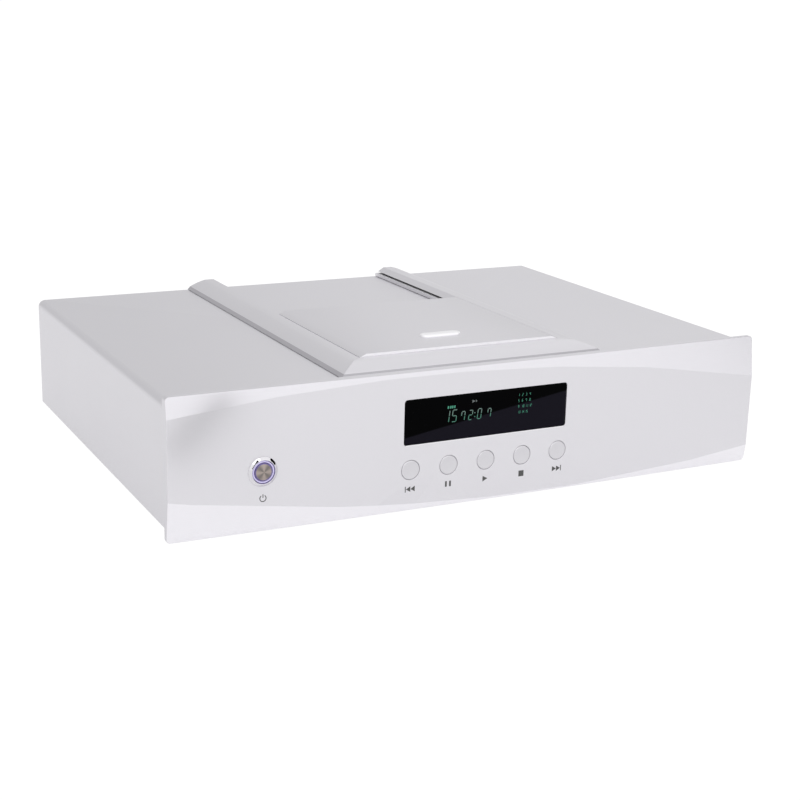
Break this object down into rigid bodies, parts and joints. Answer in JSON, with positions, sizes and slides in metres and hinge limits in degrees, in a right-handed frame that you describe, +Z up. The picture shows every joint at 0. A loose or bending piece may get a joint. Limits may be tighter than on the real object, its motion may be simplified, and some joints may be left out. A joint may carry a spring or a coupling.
{
  "type": "top-loading disc player",
  "caption": "Low hi-fi disc player whose flush lid slides back between two raised rails to open a top-loading disc bay.",
  "frame": {"origin": "On the table, under the middle of the whole box, jacks and power button included.", "axes": "+X to the right along the front panel as its user sees it, +Y from the front panel to the back, +Z up."},
  "size_m": [0.43, 0.3168, 0.1002],
  "materials": {
    "satin_aluminium": "bead-blasted, clear anodised",
    "polished_aluminium": "fine turned, clear anodised",
    "chrome": "polished chrome plate",
    "window_black": "gloss black tinted acrylic",
    "display_glass": "dark display glass, unlit",
    "halo_light": "translucent, lit violet-blue",
    "board_green": "green solder mask",
    "zinc_steel": "zinc plated sheet",
    "rubber_black": "matte black rubber",
    "bay_grey": "fine grained dark grey moulding",
    "black_plastic": "satin black moulding",
    "gear_white": "natural acetal",
    "lens_glass": "coated lens, blue sheen",
    "polished_steel": "ground and polished",
    "winding_tape": "yellow polyester tape",
    "capacitor_sleeve": "dark blue shrink sleeve",
    "black_anodised": "black anodised extrusion",
    "gold_plate": "gold plated"
  },
  "bodies": {
    "player": {"front_panel": "satin_aluminium", "display_window": "window_black", "display_module": "display_glass", "front_board": "board_green", "power_switch_bezel": "chrome", "power_halo_ring": "halo_light", "power_switch_nut": "zinc_steel", "power_switch_block": "black_plastic", "main_cover": "satin_aluminium", "base_plate": "zinc_steel", "front_sub_panel": "zinc_steel", "rear_panel": "zinc_steel", "front_left_foot": "satin_aluminium", "front_right_foot": "satin_aluminium", "rear_left_foot": "satin_aluminium", "rear_right_foot": "satin_aluminium", "front_left_foot_pad": "rubber_black", "front_right_foot_pad": "rubber_black", "rear_left_foot_pad": "rubber_black", "rear_right_foot_pad": "rubber_black", "left_guide_rail": "satin_aluminium", "right_guide_rail": "satin_aluminium", "front_frame_bar": "satin_aluminium", "disc_well": "bay_grey", "spindle_motor": "zinc_steel", "transport_chassis": "zinc_steel", "front_left_damper": "rubber_black", "rear_left_damper": "rubber_black", "front_right_damper": "rubber_black", "rear_right_damper": "rubber_black", "sled_guide_rod": "polished_steel", "sled_support_rod": "polished_steel", "sled_motor": "zinc_steel", "power_transformer": "winding_tape", "transformer_clamp": "zinc_steel", "power_board": "board_green", "main_board": "board_green", "front_filter_capacitor": "capacitor_sleeve", "rear_filter_capacitor": "capacitor_sleeve", "heat_sink": "black_anodised", "left_output_jack": "gold_plate", "right_output_jack": "gold_plate", "digital_output_jack": "black_plastic", "mains_inlet": "black_plastic"},
    "lid": {"lid_plate": "satin_aluminium", "lid_carrier": "black_plastic", "lid_grip": "polished_aluminium"},
    "power_button": {"power_button_cap": "polished_steel"},
    "previous": {"previous_button": "polished_aluminium"},
    "pause": {"pause_button": "polished_aluminium"},
    "play": {"play_button": "polished_aluminium"},
    "stop": {"stop_button": "polished_aluminium"},
    "next": {"next_button": "polished_aluminium"},
    "turntable": {"turntable_hub": "black_plastic", "disc_clamp": "polished_steel"},
    "sled": {"pickup_sled": "black_plastic", "objective_lens": "lens_glass"},
    "drive_gear": {"sled_drive_gear": "gear_white"},
    "motor_pinion": {"sled_motor_pinion": "gear_white"}
  },
  "joints": [
    {"name": "lid_slide", "type": "slide", "parent": "player", "child": "lid", "axis": [0, 1, 0], "range_m": [0, 0.135]},
    {"name": "power_press", "type": "slide", "parent": "player", "child": "power_button", "axis": [0, 1, 0], "range_m": [0, 0.002], "stiffness_N_per_m": 500, "springref_m": -0.001},
    {"name": "previous_press", "type": "slide", "parent": "player", "child": "previous", "axis": [0, 1, 0], "range_m": [0, 0.0012], "stiffness_N_per_m": 600, "springref_m": -0.001},
    {"name": "pause_press", "type": "slide", "parent": "player", "child": "pause", "axis": [0, 1, 0], "range_m": [0, 0.0012], "stiffness_N_per_m": 600, "springref_m": -0.001},
    {"name": "play_press", "type": "slide", "parent": "player", "child": "play", "axis": [0, 1, 0], "range_m": [0, 0.0012], "stiffness_N_per_m": 600, "springref_m": -0.001},
    {"name": "stop_press", "type": "slide", "parent": "player", "child": "stop", "axis": [0, 1, 0], "range_m": [0, 0.0012], "stiffness_N_per_m": 600, "springref_m": -0.001},
    {"name": "next_press", "type": "slide", "parent": "player", "child": "next", "axis": [0, 1, 0], "range_m": [0, 0.0012], "stiffness_N_per_m": 600, "springref_m": -0.001},
    {"name": "spindle_spin", "type": "hinge", "parent": "player", "child": "turntable", "pos_m": [0, -0.05435, 0.08], "axis": [0, 0, 1], "continuous": true},
    {"name": "sled_slide", "type": "slide", "parent": "player", "child": "sled", "axis": [1, 0, 0], "range_m": [0, 0.033]},
    {"name": "drive_gear_turn", "type": "hinge", "parent": "player", "child": "drive_gear", "pos_m": [0.0415, -0.0845, 0.06], "axis": [0, 0, 1], "range_deg": [-320, 5]},
    {"name": "motor_pinion_turn", "type": "hinge", "parent": "player", "child": "motor_pinion", "pos_m": [0.02539, -0.09457, 0.057], "axis": [0, 0, 1], "range_deg": [-5, 890]}
  ],
  "couplings": [
    {"joint": "drive_gear_turn", "follows": "sled_slide", "rad_per_m": -166.67},
    {"joint": "motor_pinion_turn", "follows": "sled_slide", "rad_per_m": 466.67}
  ]
}
